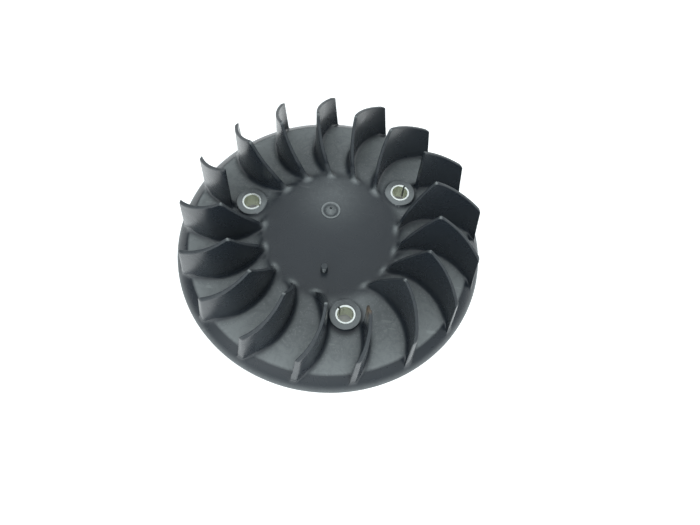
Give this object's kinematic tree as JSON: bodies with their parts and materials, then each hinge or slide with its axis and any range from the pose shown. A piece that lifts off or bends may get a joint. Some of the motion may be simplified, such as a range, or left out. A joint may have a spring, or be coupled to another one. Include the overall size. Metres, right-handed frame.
{
  "type": "flywheel cooling fan wheel",
  "caption": "Black moulded cooling fan wheel with tall curved blades on a dished disc and bolt bosses lined with split steel sleeves, which bolts to a magneto flywheel.",
  "frame": {"origin": "on the wheel's axis, at the foot of the rim", "axes": "+Z along the axis, out of the disc on the side of the blades, away from the flywheel; +Y from the locating peg towards the gate mark, in the plane of the disc"},
  "size_m": [0.128, 0.128, 0.0372],
  "materials": {
    "moulding": "black glass-filled nylon as moulded: satin, lightly scuffed, with faint flow marks",
    "sleeve": "rolled steel strip, zinc plated and yellow passivated, bright cut ends"
  },
  "bodies": {
    "root": {"hub_plate": "moulding", "disc_sector_1": "moulding", "disc_sector_2": "moulding", "disc_sector_3": "moulding", "disc_sector_4": "moulding", "disc_sector_5": "moulding", "disc_sector_6": "moulding", "blade_01": "moulding", "blade_02": "moulding", "blade_03": "moulding", "blade_04": "moulding", "blade_05": "moulding", "blade_06": "moulding", "blade_07": "moulding", "blade_08": "moulding", "blade_09": "moulding", "blade_10": "moulding", "blade_11": "moulding", "blade_12": "moulding", "blade_13": "moulding", "blade_14": "moulding", "blade_15": "moulding", "blade_16": "moulding", "blade_17": "moulding", "bolt_sleeve_1": "sleeve", "bolt_sleeve_2": "sleeve", "bolt_sleeve_3": "sleeve"}
  },
  "joints": []
}
